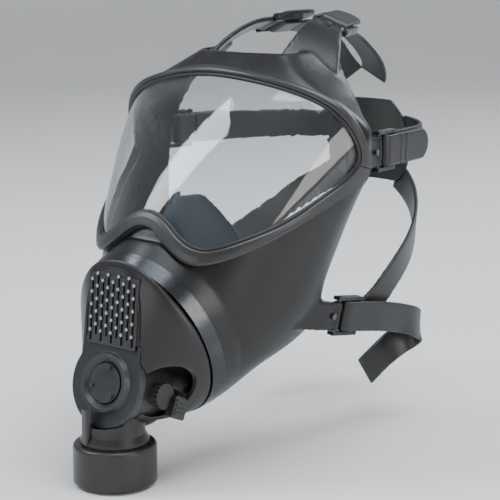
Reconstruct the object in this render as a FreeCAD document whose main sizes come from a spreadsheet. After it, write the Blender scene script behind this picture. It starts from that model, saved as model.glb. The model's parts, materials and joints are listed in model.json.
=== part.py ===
import FreeCAD, Part
import Sketcher
import math
import os
from FreeCAD import Matrix, Placement, Rotation, Vector

# Full face respirator: curved visor held by a two-part frame on a rubber facepiece, a front
# unit with a speech grille, a valve chamber and a hose coupling held by an elliptical clamp
# band, an inner mask, and a six-strap rubber head harness on tilting buckles.
#
# Frame of the part: the origin is midway between the wearer's ear canals, -Y is forward,
# +X is the wearer's left and +Z is up.  Millimetres.

# ---------------------------------------------------------------- driving dimensions
SIZES = {
    # visor surface: an elliptic cone that leans back towards the forehead
    "visor_level": 28.0, "visor_half": 81.94, "visor_widening": 0.3312,
    "visor_depth": 86.99, "visor_shallowing": 0.057, "visor_lean": 0.58,
    "visor_bow": 0.003113, "visor_back": 47.0, "visor_thick": 2.0,
    "frame_proud": 3.2, "frame_skirt": 2.1, "seal_width": 2.0, "rubber_thick": 3.5,
    "rim_curvature": 72.0,
    # clamp ring between facepiece and front unit
    "ring_half_width": 49.0, "ring_half_height": 56.5, "ring_taper": 0.28,
    "ring_front": 131.0, "ring_drop": 47.0, "ring_lean": 24.5,
    "band_thick": 1.6, "band_width": 9.0, "lip_thick": 2.8,
    # valve chamber and its front plate
    "valve_front": 176.0, "valve_drop": 69.0, "valve_lean": 15.0,
    "plate_radius": 26.5, "plate_thick": 4.0, "chamber_radius": 24.5,
    "chamber_wall": 2.5, "chamber_depth": 27.0,
    "dial_ring_radius": 15.6, "dial_ring_wire": 2.9, "cap_radius": 11.6, "cap_thick": 3.4,
    "cap_clearance": 0.3, "nub_radius": 1.3, "nub_height": 1.6,
    "seat_outer": 22.0, "seat_bore": 12.0, "seat_thick": 2.4,
    "flap_radius": 14.5, "flap_thick": 1.2, "flap_lift": 2.0,
    # hose coupling
    "nut_axis": 169.0, "nut_drop": 130.0, "nut_radius": 24.6, "nut_height": 24.5,
    "nut_thread": 20.0, "nut_thread_depth": 15.0, "nut_lip": 4.5,
    "tube_neck": 17.2, "tube_flange": 19.4, "tube_flange_thick": 2.6,
    "tube_rim": 20.2, "tube_top": 16.6, "tube_bore": 13.2, "tube_length": 50.0,
    "gasket_thick": 1.6, "gasket_bore": 13.6,
    # side ports and cover latches
    "port_front": 160.0, "port_drop": 75.0, "port_radius": 6.6, "port_reach": 28.0,
    "port_cap_thick": 3.6, "port_knurl": 0.55, "latch_across": 29.0, "latch_front": 150.0,
    "latch_drop": 84.0, "latch_wide": 5.0, "latch_long": 12.0, "latch_tall": 13.0,
    # speech unit
    "panel_front": 167.0, "panel_drop": 14.0, "panel_lean": 5.8,
    "panel_half_width": 22.0, "grille_width": 38.0, "grille_height": 42.0,
    "grille_thick": 2.0, "grille_pitch": 4.0, "grille_step": 7.4,
    "grille_slot_width": 1.5, "grille_slot_length": 5.2, "grille_pip": 0.95,
    "grille_columns": 9.0, "grille_rows": 5.0,
    "diaphragm_radius": 17.0, "diaphragm_ring": 19.5,
    # buckles and straps
    "strap_width": 19.5, "strap_thick": 2.4, "buckle_width": 24.5, "buckle_length": 22.0,
    "buckle_bar": 2.2, "buckle_deep": 5.0, "pin_radius": 1.3, "knuckle_radius": 2.9,
    "roller_radius": 1.9, "roller_back": 9.0, "tab_thick": 3.0, "tab_width": 19.0,
    "forehead_tab_root": 42.0,
    # wearer's head, which the harness wraps
    "head_half_width": 76.0, "head_half_depth": 97.0, "head_half_height": 91.0,
    "head_centre_back": 3.0, "head_centre_up": 38.0, "pad_thick": 2.6,
}

DOC = FreeCAD.newDocument("full_face_respirator")
SHEET = DOC.addObject("Spreadsheet::Sheet", "Sizes")
for row, (word, value) in enumerate(SIZES.items(), 1):
    SHEET.set("A%d" % row, word)
    SHEET.set("B%d" % row, str(value))
    SHEET.setAlias("B%d" % row, word)
DOC.recompute()

NODES = []


def mm(word):
    """A driving dimension, read from the sheet."""
    return float(SHEET.get(word))


# ---------------------------------------------------------------- helpers: bodies and sketches
def new_body(label):
    body = DOC.addObject("PartDesign::Body", label)
    body.Label = label
    NODES.append(body)
    return body


def new_feature(label, shape, placement=None):
    """A part whose shape comes from Part's own functions."""
    feature = DOC.addObject("Part::Feature", label)
    feature.Label = label
    feature.Shape = shape
    if placement is not None:
        feature.Placement = placement
    NODES.append(feature)
    return feature


def new_sketch(body, role, name):
    """A sketch on one of the body's own origin planes."""
    sketch = body.newObject("Sketcher::SketchObject", name)
    plane = next(item for item in body.Origin.OriginFeatures if item.Role == role)
    sketch.AttachmentSupport = (plane, [""])
    sketch.MapMode = "FlatFace"
    return sketch


def sheet_formula(text):
    """A formula with #word for each cell, in the form that expressions take."""
    return text.replace("#", "Sizes.")


def pin(sketch, constraint, formula):
    index = sketch.addConstraint(constraint)
    sketch.setExpression("Constraints[%d]" % index, sheet_formula(formula))


def draw_outline(sketch, corners):
    """A closed polygon, each corner held by two sheet formulas."""
    count = len(corners)
    first = sketch.GeometryCount
    rough = [Vector(10 + math.cos(6.28 * i / count), 10 + math.sin(6.28 * i / count), 0)
             for i in range(count)]
    for i in range(count):
        sketch.addGeometry(Part.LineSegment(rough[i], rough[(i + 1) % count]), False)
    for i in range(count):
        after = first + (i + 1) % count
        sketch.addConstraint(Sketcher.Constraint("Coincident", first + i, 2, after, 1))
    for i, (across, up) in enumerate(corners):
        pin(sketch, Sketcher.Constraint("DistanceX", -1, 1, first + i, 1, 5.0), across)
        pin(sketch, Sketcher.Constraint("DistanceY", -1, 1, first + i, 1, 5.0), up)


def draw_circle(sketch, radius, across="0", up="0"):
    index = sketch.addGeometry(Part.Circle(Vector(0, 0, 0), Vector(0, 0, 1), 1.0), False)
    pin(sketch, Sketcher.Constraint("Radius", index, 1.0), radius)
    if across == "0" and up == "0":
        sketch.addConstraint(Sketcher.Constraint("Coincident", index, 3, -1, 1))
    else:
        pin(sketch, Sketcher.Constraint("DistanceX", -1, 1, index, 3, 1.0), across)
        pin(sketch, Sketcher.Constraint("DistanceY", -1, 1, index, 3, 1.0), up)


def pad(body, sketch, name, length, symmetric=False):
    feature = body.newObject("PartDesign::Pad", name)
    feature.Profile = sketch
    feature.Midplane = symmetric
    feature.setExpression("Length", sheet_formula(length))
    DOC.recompute()
    return feature


def pocket(body, sketch, name, length, symmetric=False, reverse=False):
    """Cut a sketch out of the body, and stop if nothing was cut."""
    before = body.Shape.Volume
    feature = body.newObject("PartDesign::Pocket", name)
    feature.Profile = sketch
    feature.Midplane = symmetric
    feature.Reversed = reverse
    feature.setExpression("Length", sheet_formula(length))
    DOC.recompute()
    if body.Shape.Volume > before - 0.01:
        raise RuntimeError(name + " cuts nothing")
    return feature


def revolve(body, sketch, name):
    feature = body.newObject("PartDesign::Revolution", name)
    feature.Profile = sketch
    feature.ReferenceAxis = (sketch, ["V_Axis"])
    feature.Angle = 360.0
    DOC.recompute()
    return feature


def round_edges(body, name, radius, wanted):
    """Fillet the edges for which wanted(edge) is true."""
    base = body.Tip
    edges = ["Edge%d" % (i + 1) for i, edge in enumerate(base.Shape.Edges) if wanted(edge)]
    feature = body.newObject("PartDesign::Fillet", name)
    feature.Base = (base, edges)
    feature.Radius = radius
    DOC.recompute()
    return feature


def turned(label, corners, placement=None):
    """A turned part about its own Z axis; corners are (radius, height) formulas."""
    body = new_body(label)
    sketch = new_sketch(body, "XZ_Plane", label + "_profile")
    draw_outline(sketch, corners)
    revolve(body, sketch, label + "_turn")
    if placement is not None:
        body.Placement = placement
    return body


def tube_ring(label, outer, bore, thick, placement):
    """A flat ring, or a disc when bore is None."""
    body = new_body(label)
    sketch = new_sketch(body, "XY_Plane", label + "_face")
    draw_circle(sketch, outer)
    if bore is not None:
        draw_circle(sketch, bore)
    pad(body, sketch, label + "_pad", thick)
    body.Placement = placement
    return body


# ---------------------------------------------------------------- helpers: frames in space
def frame_from(origin, across, along):
    """A placement whose local X is across and local Y is along."""
    x = Vector(across).normalize()
    z = x.cross(Vector(along)).normalize()
    y = z.cross(x)
    matrix = Matrix(x.x, y.x, z.x, origin.x, x.y, y.y, z.y, origin.y, x.z, y.z, z.z, origin.z,
                    0, 0, 0, 1)
    return Placement(matrix)


def leaning_frame(front, drop, lean):
    """Local Z points forward (-Y) and local Y up; lean tips local Y forward, in degrees."""
    angle = math.radians(lean)
    up = Vector(0, -math.sin(angle), math.cos(angle))
    return frame_from(Vector(0, -front, -drop), Vector(1, 0, 0), up)


RING = leaning_frame(mm("ring_front"), mm("ring_drop"), mm("ring_lean"))
VALVE = leaning_frame(mm("valve_front"), mm("valve_drop"), -mm("valve_lean"))
PANEL = leaning_frame(mm("panel_front"), mm("panel_drop"), -mm("panel_lean"))
NUT = Placement(Vector(0, -mm("nut_axis"), -mm("nut_drop")), Rotation())
DIAPHRAGM = PANEL.multiply(Placement(Vector(0, -13.5, -9.0), Rotation()))


def polygon(points):
    return Part.makePolygon(list(points) + [points[0]])


def smooth_edge(points):
    curve = Part.BSplineCurve()
    curve.interpolate(points)
    return curve.toShape()


def loft(wires, ruled=False):
    """A solid through closed wires, whichever way round they run."""
    shape = Part.makeLoft(wires, True, ruled)
    if shape.Volume < 0:
        shape = Part.makeLoft(wires[::-1], True, ruled)
    return shape


def mirrored(shape):
    """The same shape on the wearer's other side."""
    return shape.mirror(Vector(0, 0, 0), Vector(1, 0, 0))


# ---------------------------------------------------------------- visor surface and frame
# Stations from the top centre of the frame round the wearer's left side to the nose notch:
# angle and height of the inner edge, then of the outer edge, on the visor surface.
RIM = [(0, 99.3, 0, 104.6), (26, 94, 26, 98.5), (50, 81.5, 52, 85.5), (69, 63.5, 73.5, 64.5),
       (76, 52, 87, 48), (74, 42, 89, 38.5), (69, 35, 82, 33.5), (57, 22, 62, 15),
       (42, 12, 45, 2.5), (31.5, 8, 30, -1.5), (21, 12.5, 17.5, 5), (10, 22.5, 7.5, 14.5),
       (0, 26.8, 0, 17.7)]
LAST = len(RIM) - 1
JOINT = 4.0


def visor_point(angle, height, out=0.0):
    """Point of the visor's outer face at an angle from the front, moved out along its normal."""
    turn = math.radians(angle)
    rise = height - mm("visor_level")
    half = mm("visor_half") + mm("visor_widening") * rise
    deep = mm("visor_depth") - mm("visor_shallowing") * rise
    centre = mm("visor_lean") * rise + mm("visor_bow") * rise * rise - mm("visor_back")
    point = Vector(half * math.sin(turn), centre - deep * math.cos(turn), height)
    if not out:
        return point
    around = Vector(half * math.cos(turn), deep * math.sin(turn), 0)
    slope = mm("visor_lean") + 2 * mm("visor_bow") * rise + mm("visor_shallowing") * math.cos(turn)
    upward = Vector(mm("visor_widening") * math.sin(turn), slope, 1)
    return point + around.cross(upward).normalize() * out


def rim_curve(column):
    """Closed curve through one edge's stations, with the station's number as its parameter."""
    half = [Vector(row[column], row[column + 1], 0) for row in RIM]
    other = [Vector(-p.x, p.y, 0) for p in half[-2:0:-1]]
    points = half + other
    curve = Part.BSplineCurve()
    curve.interpolate(Points=points, PeriodicFlag=True,
                      Parameters=[float(i) for i in range(len(points) + 1)])
    return curve


INNER_RIM = rim_curve(0)
OUTER_RIM = rim_curve(2)


def rim_at(station, share):
    """Angle and height on the rim, share of the way from its inner to its outer edge."""
    place = station % (2 * LAST)
    inner = INNER_RIM.value(place)
    outer = OUTER_RIM.value(place)
    return inner + (outer - inner) * share


def rim_section(station, profile):
    """A profile placed across the rim: distance from its inner edge and height above the visor.

    profile is a function of the rim's width.
    """
    inner = rim_at(station, 0)
    outer = rim_at(station, 1)
    middle = rim_at(station, 0.5)
    start = visor_point(inner.x, inner.y)
    across = visor_point(outer.x, outer.y) - start
    width = across.Length
    across.normalize()
    normal = visor_point(middle.x, middle.y, 1.0) - visor_point(middle.x, middle.y)
    normal = (normal - across * normal.dot(across)).normalize()
    return polygon([start + across * w + normal * n for w, n in profile(width)])


def crown(reach, width):
    """How far the visor bulges above the rim's straight chord, at a reach along it."""
    return reach * (width - reach) / (2 * mm("rim_curvature"))


def frame_profile(width):
    proud = mm("frame_proud")
    skirt = mm("frame_skirt")
    start = mm("seal_width")
    middle = 0.5 * width
    inside = width - 1.6
    return [(start, 0.3 + crown(start, width)), (start + 0.1, proud - 1.0), (start + 0.9, proud - 0.3),
            (0.55 * width, proud), (width - 1.4, proud - 0.4), (width - 0.1, proud - 1.4),
            (width, -skirt), (inside, -skirt), (inside, 0.3 + crown(inside, width)),
            (middle, 0.3 + crown(middle, width))]


def seal_profile(width):
    edge = mm("seal_width") - 0.05
    return [(0.0, 0.08), (0.1, 0.9), (0.6, 1.4), (edge - 0.3, 1.5), (edge, 1.2),
            (edge, 0.12 + crown(edge, width))]


def rim_half(first, last, profile):
    steps = int(round((last - first) * 3))
    stations = [first + (last - first) * i / steps for i in range(steps + 1)]
    return loft([rim_section(station, profile) for station in stations])


PIVOT = Vector(0, -40, 0)


def on_radial_plane(bearing, height, out):
    """Visor point at a height in the vertical plane through the pivot at a bearing."""
    low, high = 0.0, 120.0
    for _ in range(30):
        middle = (low + high) / 2
        spot = visor_point(middle, height, out)
        if math.degrees(math.atan2(spot.x, PIVOT.y - spot.y)) < bearing:
            low = middle
        else:
            high = middle
    return visor_point((low + high) / 2, height, out)


def edge_in_plane(bearing, share, upper):
    """Height of the rim in the radial plane at a bearing."""
    low, high = (0.0, 4.3) if upper else (float(LAST), 4.3)
    for _ in range(30):
        middle = (low + high) / 2
        place = rim_at(middle, share)
        spot = visor_point(place.x, place.y)
        if math.degrees(math.atan2(spot.x, PIVOT.y - spot.y)) < bearing:
            low = middle
        else:
            high = middle
    return rim_at((low + high) / 2, share).y


def shell_slice(bearing, share, out, inside):
    """Planar slice of a layer on the visor surface between two offsets."""
    side = abs(bearing)
    top = edge_in_plane(side, share, True)
    bottom = edge_in_plane(side, share, False)
    heights = [bottom + (top - bottom) * i / 8 for i in range(9)]
    outer = [on_radial_plane(side, height, out) for height in heights]
    inner = [on_radial_plane(side, height, inside) for height in heights]
    if bearing < 0:
        outer = [Vector(-p.x, p.y, p.z) for p in outer]
        inner = [Vector(-p.x, p.y, p.z) for p in inner]
    return Part.Wire([smooth_edge(outer), Part.LineSegment(outer[-1], inner[-1]).toShape(),
                      smooth_edge(inner[::-1]), Part.LineSegment(inner[0], outer[0]).toShape()])


def shell_on_visor(share, out, inside, reach):
    """Solid layer that follows the visor surface, bounded by the rim."""
    turns = [math.sin(math.pi / 2 * i / 9) for i in range(-9, 10)]
    return loft([shell_slice(reach * turn, share, out, inside) for turn in turns])


def make_visor():
    new_feature("visor", shell_on_visor(0.6, 0.0, -mm("visor_thick"), 86.0))


def make_frame():
    gap = 0.02
    upper = (-JOINT + gap, JOINT - gap)
    lower = (JOINT + gap, 2 * LAST - JOINT - gap)
    new_feature("visor_frame_upper", rim_half(*upper, frame_profile))
    new_feature("visor_frame_lower", rim_half(*lower, frame_profile))
    new_feature("visor_seal", Part.makeCompound([rim_half(*upper, seal_profile),
                                                 rim_half(*lower, seal_profile)]))


def make_frame_screws():
    """Two screws that join the frame's halves, sunk in its temple corners."""
    screws = []
    for side in (1, -1):
        place = rim_at(JOINT + 0.75, 0.8)
        top = visor_point(place.x, place.y, mm("frame_proud") - 0.4)
        inward = visor_point(place.x, place.y, -3.0) - top
        screw = Part.makeCylinder(1.7, 1.6, top, inward).fuse(Part.makeCylinder(1.0, 5.0, top, inward))
        screws.append(screw if side > 0 else mirrored(screw))
    return screws


# ---------------------------------------------------------------- facepiece
# Slices from chin to forehead: height, share of the visor's width, largest angle that follows
# the visor surface, and the rear edge's distance from the middle and from the ear line.
FACE_SLICES = [(-97, 0.42, 52, 10, -103), (-92, 0.62, 56, 20, -99), (-84, 0.80, 58, 29, -93),
               (-76, 0.92, 62, 36, -86), (-68, 0.99, 65, 43, -74), (-58, 1.03, 70, 51, -58),
               (-40, 1.06, 76, 60, -49), (-20, 1.03, 80, 65, -48), (0, 1.0, 82, 69, -41),
               (20, 1.0, 84, 74, -35), (40, 1.0, 86, 79, -28), (52, 1.0, 84, 79.5, -25),
               (66, 1.0, 77, 76, -23), (80, 1.0, 60, 70, -21), (92, 1.0, 42, 62, -19),
               (103, 0.93, 28, 52, -13), (109, 0.83, 24, 46, -10), (113.5, 0.74, 22, 41, -9)]
LAYER_GAP = 0.3


def face_outline(row, inset):
    """One side of a facepiece slice, from the middle to its rear edge."""
    height, share, reach, end_across, end_forward = row
    out = -mm("visor_thick") - LAYER_GAP - inset
    points = []
    for i in range(5):
        spot = visor_point(reach * i / 4, height, out)
        points.append(Vector(spot.x * share, spot.y, height))
    turn = math.radians(reach)
    end = Vector(end_across - inset, end_forward, height)
    bulge = Vector(math.sin(turn), -math.cos(turn), 0) * (2.5 - 0.3 * inset)
    points.append((points[-1] + end) * 0.5 + bulge)
    points.append(end)
    return points


def face_curve(row, inset):
    half = face_outline(row, inset)
    other = [Vector(-p.x, p.y, p.z) for p in half[:0:-1]]
    return other + half


def face_slice(row):
    outer = face_curve(row, 0.0)
    inner = face_curve(row, mm("rubber_thick"))
    return Part.Wire([smooth_edge(outer), Part.LineSegment(outer[-1], inner[-1]).toShape(),
                      smooth_edge(inner[::-1]), Part.LineSegment(inner[0], outer[0]).toShape()])


def chin_floor():
    """Closes the chin cup below the lowest slice."""
    wires = []
    lowest, next_up = FACE_SLICES[:2]
    for part in (0.0, 0.6):
        row = [low + (high - low) * part for low, high in zip(lowest, next_up)]
        curve = face_curve(row, 0.4)
        wires.append(Part.Wire([smooth_edge(curve), Part.LineSegment(curve[-1], curve[0]).toShape()]))
    return loft(wires)


def ring_wire(shrink, forward):
    """The clamp ring's ellipse, shrunk, in its plane moved forward."""
    narrow = shrink + mm("ring_taper") * forward
    ellipse = Part.Ellipse(Vector(0, 0, 0), mm("ring_half_height") - narrow,
                           mm("ring_half_width") - narrow)
    wire = Part.Wire(ellipse.toShape())
    wire.Placement = RING.multiply(Placement(Vector(0, 0, forward), Rotation(Vector(0, 0, 1), 90)))
    return wire


def ring_tube(outer_shrink, inner_shrink, start, end):
    """A tapered elliptical tube about the ring's axis."""
    outside = loft([ring_wire(outer_shrink, start), ring_wire(outer_shrink, end)], True)
    inside = loft([ring_wire(inner_shrink, start - 0.01), ring_wire(inner_shrink, end + 0.01)], True)
    return outside.cut(inside)


def make_facepiece():
    shell = loft([face_slice(row) for row in FACE_SLICES])
    shell = shell.fuse(chin_floor())
    window = shell_on_visor(0.2, 6.0, -12.0, 79.0)
    shell = shell.cut(window)
    front = Part.makeBox(200, 200, 80, Vector(-100, -100, 0))
    front.Placement = RING.multiply(front.Placement)
    shell = shell.cut(front)
    lip = mm("band_thick") + 0.2
    mouth = loft([ring_wire(lip + mm("lip_thick") + 1.0, -15), ring_wire(lip + mm("lip_thick"), 12)], True)
    collar = ring_tube(lip, lip + mm("lip_thick"), -12.0, mm("band_width") + 0.5)
    base_room = lip + mm("lip_thick") + 0.1
    base_way = loft([ring_wire(base_room, -5.5), ring_wire(base_room, 14)], True)
    shell = shell.cut(mouth).fuse(collar).cut(base_way)
    for tab in (forehead_tab(), temple_tab(), neck_tab()):
        shell = shell.fuse(tab).fuse(mirrored(tab))
    new_feature("facepiece", shell.removeSplitter())


# ---------------------------------------------------------------- inner mask
# Slices from chin to nose bridge: height, half-width and reach of the front, rear edge's distance
# from the middle and from the ear line.
CUP_SLICES = [(-84, 15, -104, 20, -87), (-72, 22, -108, 28, -82), (-56, 27, -118, 35, -75),
              (-38, 29, -123, 38, -74), (-20, 27, -125, 37, -77), (-4, 22, -124, 33, -82),
              (10, 16, -121, 27, -87), (22, 11, -117, 20, -93), (32, 7, -112, 13, -99)]


def cup_curve(row, inset):
    height, half, front, end_across, end_back = row
    side = [Vector(0, front, height), Vector(0.62 * half, front + 2.5, height),
            Vector(half, front + 11, height), Vector(end_across, end_back, height)]
    side = [Vector(p.x - inset * p.x / (half + 4), p.y + inset * (1 - p.x / (half + 12)), height)
            for p in side]
    return [Vector(-p.x, p.y, p.z) for p in side[:0:-1]] + side


def make_inner_mask():
    """Soft cup over nose and mouth, with an inlet flap in each cheek."""
    wires = []
    for row in CUP_SLICES:
        outer = cup_curve(row, 0.0)
        inner = cup_curve(row, 2.2)
        wires.append(Part.Wire([smooth_edge(outer), Part.LineSegment(outer[-1], inner[-1]).toShape(),
                                smooth_edge(inner[::-1]),
                                Part.LineSegment(inner[0], outer[0]).toShape()]))
    cup = loft(wires)
    cup = cup.cut(cylinder_in(RING, 15.0, -60, 40))
    flap_place = frame_from(Vector(27.5, -112.5, -12), Vector(0.62, 0.78, 0), Vector(0, 0, 1))
    bore = cylinder_in(flap_place, 8.55, -12, 12)
    cup = cup.cut(bore).cut(mirrored(bore))
    new_feature("inner_mask", largest_solid(cup))
    seat = cylinder_in(flap_place, 8.5, -3.2, 3.0).cut(cylinder_in(flap_place, 5.0, -5, 5))
    flap = cylinder_in(flap_place, 7.5, 3.4, 4.2)
    new_feature("inner_seats", Part.makeCompound([seat, mirrored(seat)]))
    new_feature("inner_flaps", Part.makeCompound([flap, mirrored(flap)]))


# ---------------------------------------------------------------- head harness
def head_point(bearing, climb, out):
    """Point over the head: bearing from the front, climb above the head's middle."""
    turn = math.radians(bearing)
    rise = math.radians(climb)
    direction = Vector(math.cos(rise) * math.sin(turn), -math.cos(rise) * math.cos(turn), math.sin(rise))
    across = (mm("head_half_width") + out) * direction.x
    back = (mm("head_half_depth") + out) * direction.y
    up = (mm("head_half_height") + out) * direction.z
    return Vector(across, back + mm("head_centre_back"), up + mm("head_centre_up"))


def head_normal(point):
    x = point.x / mm("head_half_width") ** 2
    y = (point.y - mm("head_centre_back")) / mm("head_half_depth") ** 2
    z = (point.z - mm("head_centre_up")) / mm("head_half_height") ** 2
    return Vector(x, y, z).normalize()


def ribbon(points, normals, widths, thick, steps=16):
    """A flat strap along a smooth curve, facing the normals; its lower face is on the curve.

    widths are its widths at the first and the last point.
    """
    knots = [0.0]
    for before, after in zip(points, points[1:]):
        knots.append(knots[-1] + before.distanceToPoint(after))
    curve = Part.BSplineCurve()
    curve.interpolate(Points=points, Parameters=knots)
    facing = [Vector(normal) for normal in normals]
    sections = []
    leg = 0
    for i in range(steps + 1):
        place = knots[-1] * i / steps
        while place > knots[leg + 1] and leg < len(knots) - 2:
            leg += 1
        share = (place - knots[leg]) / (knots[leg + 1] - knots[leg])
        spot = curve.value(place)
        along = Vector(curve.tangent(place)[0])
        outward = facing[leg] + (facing[leg + 1] - facing[leg]) * share
        width = widths[0] + (widths[1] - widths[0]) * i / steps
        side = along.cross(outward).normalize() * (width / 2)
        up = side.cross(along).normalize() * thick
        sections.append(polygon([spot - side, spot + side, spot + side + up, spot - side + up]))
    return loft(sections)


def head_above(across, back, out):
    """Point on the upper half of the head at a place seen from above."""
    x = across / (mm("head_half_width") + out)
    y = (back - mm("head_centre_back")) / (mm("head_half_depth") + out)
    up = (mm("head_half_height") + out) * math.sqrt(1 - x * x - y * y)
    return Vector(across, back, up + mm("head_centre_up"))


# ---------------------------------------------------------------- buckles
# Each buckle's own frame: X along its hinge pin, Y along the strap away from the mask and Z
# outward.  The origin is the middle of the hinge pin.
def buckle_frame_at(pin_point, outward, along):
    out = Vector(outward).normalize()
    forward = Vector(along)
    forward = forward - out * forward.dot(out)
    return frame_from(pin_point, forward.cross(out), forward)


TOP_PIN = head_above(24.5, 11, 2.4)
TOP = buckle_frame_at(TOP_PIN, head_normal(TOP_PIN), (-0.28, 0.95, 0))
TEMPLE = buckle_frame_at(Vector(83.0, -22, 55.5), (0.995, 0.10, 0.0), (-0.08, 1, -0.02))
NECK = buckle_frame_at(Vector(65.2, -38, -46), (0.98, -0.12, -0.10), (0.08, 1, -0.15))
PLACES = {"top": TOP, "temple": TEMPLE, "neck": NECK}
SIDES = {"left": 1, "right": -1}
ROLLER_AT = mm("roller_back")
FOLD = 2.1


def inside(place, x, y, z):
    """A point given in a buckle's own frame."""
    return place.multVec(Vector(x, y, z))


def tab_to(place, spots, first_width, last_width):
    """Rubber tab that runs from the facepiece to a buckle's pin and wraps it."""
    thick = mm("tab_thick")
    out = place.Rotation.multVec(Vector(0, 0, 1))
    ends = [inside(place, 0, -7.0, -thick / 2), inside(place, 0, 0.4, -thick / 2)]
    points = spots + ends
    facing = [out if spot.z < 100 else head_normal(spot) for spot in spots] + [out, out]
    tab = ribbon(points, facing, (first_width, last_width), thick, 14)
    for side in (-1, 1):
        arm_room = Part.makeBox(8, 14, 12, Vector(side * (last_width / 2 + 4.25) - 4, -4.2, -6))
        tab = tab.cut(in_frame(place, arm_room))
    knuckle = rod_across(place, mm("knuckle_radius"), last_width)
    hole = rod_across(place, mm("pin_radius") + 0.05, 2 * last_width)
    return tab.fuse(knuckle).cut(hole)


def rod_across(place, radius, length):
    """Cylinder on a buckle's pin line."""
    rod = Part.makeCylinder(radius, length, Vector(0, 0, -length / 2))
    rod.Placement = place.multiply(Placement(Vector(), Rotation(Vector(0, 1, 0), 90)))
    return rod


def forehead_tab():
    spots = [head_above(41, -41, -3.6), head_above(37.5, -27, -2.6), head_above(31, -9, 0.2)]
    return tab_to(TOP, spots, mm("forehead_tab_root"), mm("tab_width"))


def temple_tab():
    return tab_to(TEMPLE, [Vector(80.6, -36, 55.5)], mm("tab_width"), mm("tab_width"))


def neck_tab():
    spots = [Vector(57.6, -69, -39.5), Vector(60.2, -57, -42.5)]
    return tab_to(NECK, spots, mm("tab_width"), mm("tab_width"))


def make_buckle_frame(label, place):
    """Two side arms with pin holes, and the rear bar that the strap crosses."""
    body = new_body(label)
    plan = new_sketch(body, "XY_Plane", label + "_plan")
    half = "#buckle_width / 2"
    draw_outline(plan, [("-" + half, "-2.6"), ("-" + half + " + #buckle_bar", "-2.6"),
                        ("-" + half + " + #buckle_bar", "#buckle_length - 4.8"),
                        (half + " - #buckle_bar", "#buckle_length - 4.8"),
                        (half + " - #buckle_bar", "-2.6"), (half, "-2.6"),
                        (half, "#buckle_length - 2.6"), ("-" + half, "#buckle_length - 2.6")])
    pad(body, plan, label + "_arms", "#buckle_deep", True)
    relief = new_sketch(body, "YZ_Plane", label + "_relief")
    for near, far in (("1.6", "5"), ("-5", "-1.9")):
        draw_outline(relief, [("#buckle_length - 5.4", near), ("#buckle_length", near),
                              ("#buckle_length", far), ("#buckle_length - 5.4", far)])
    pocket(body, relief, label + "_strap_way", "#buckle_width - 2 * #buckle_bar", True)
    bore = new_sketch(body, "YZ_Plane", label + "_bore")
    draw_circle(bore, "#pin_radius + 0.3")
    pocket(body, bore, label + "_pin_hole", "#buckle_width + 2", True)
    body.Placement = place


def make_buckle_bar(label, place):
    """Round bar across the buckle that the strap turns back over."""
    body = new_body(label)
    face = new_sketch(body, "YZ_Plane", label + "_face")
    draw_circle(face, "#roller_radius", "#roller_back", "0")
    pad(body, face, label + "_round", "#buckle_width - 2 * #buckle_bar - 0.2", True)
    body.Placement = place


def strap_fold(place, tail):
    """The strap's turn round the bar, with its lower and upper runs."""
    near = FOLD
    far = FOLD + mm("strap_thick")
    lower_end = mm("buckle_length") - 0.6
    a = Vector(0, lower_end, -far)
    b = Vector(0, ROLLER_AT, -far)
    c = Vector(0, ROLLER_AT, far)
    d = Vector(0, tail, far)
    e = Vector(0, tail, near)
    f = Vector(0, ROLLER_AT, near)
    g = Vector(0, ROLLER_AT, -near)
    k = Vector(0, lower_end, -near)
    edges = [Part.LineSegment(a, b), Part.Arc(b, Vector(0, ROLLER_AT - far, 0), c),
             Part.LineSegment(c, d), Part.LineSegment(d, e), Part.LineSegment(e, f),
             Part.Arc(f, Vector(0, ROLLER_AT - near, 0), g), Part.LineSegment(g, k),
             Part.LineSegment(k, a)]
    wire = Part.Wire([edge.toShape() for edge in edges])
    width = mm("strap_width") - 0.4
    fold = Part.Face(wire).extrude(Vector(width, 0, 0))
    fold.translate(Vector(-width / 2, 0, 0))
    fold.Placement = place.multiply(fold.Placement)
    return fold


def rounded_tail(place, start, end):
    """Straight tail with a round tip, in the buckle's frame."""
    width = mm("strap_width") - 0.4
    thick = mm("strap_thick")
    bar = Part.makeBox(width, end - start - width / 2, thick, Vector(-width / 2, start, FOLD))
    tip = Part.makeCylinder(width / 2, thick, Vector(0, end - width / 2, FOLD))
    tail = bar.fuse(tip).removeSplitter()
    tail.Placement = place.multiply(tail.Placement)
    return tail


# The neck strap's long tail after it leaves the buckle: spots on its lower face, and the way
# that its upper face looks at each.
NECK_TAIL = [(72, 2, -53), (73.5, 24, -58.5), (73, 41, -65), (67, 49.5, -72), (60.5, 42, -79),
             (59, 24, -85.5), (60, 4, -92)]
NECK_TAIL_FACING = [(1, 0, -0.05), (1, 0, -0.1), (0.9, 0.45, -0.1), (0.1, 1, -0.3), (-0.9, 0.4, -0.3),
                    (-1, 0, -0.3), (-1, 0, -0.3)]


def neck_tail():
    points = [inside(NECK, 0, 18.0, FOLD)] + [Vector(*spot) for spot in NECK_TAIL]
    out = NECK.Rotation.multVec(Vector(0, 0, 1))
    facing = [out] + [Vector(*spot) for spot in NECK_TAIL_FACING]
    width = mm("strap_width") - 0.4
    return ribbon(points, facing, (width, width), mm("strap_thick"), 28)


def make_strap_tails():
    tails = {"top": strap_fold(TOP, 14.0).fuse(rounded_tail(TOP, 14.0, 37.0)),
             "temple": strap_fold(TEMPLE, 14.0).fuse(rounded_tail(TEMPLE, 14.0, 61.0)),
             "neck": strap_fold(NECK, 18.1).fuse(neck_tail())}
    for where, tail in tails.items():
        tail = tail.removeSplitter()
        for side, sign in SIDES.items():
            new_feature("strap_tail_%s_%s" % (where, side), tail if sign > 0 else mirrored(tail))


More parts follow.
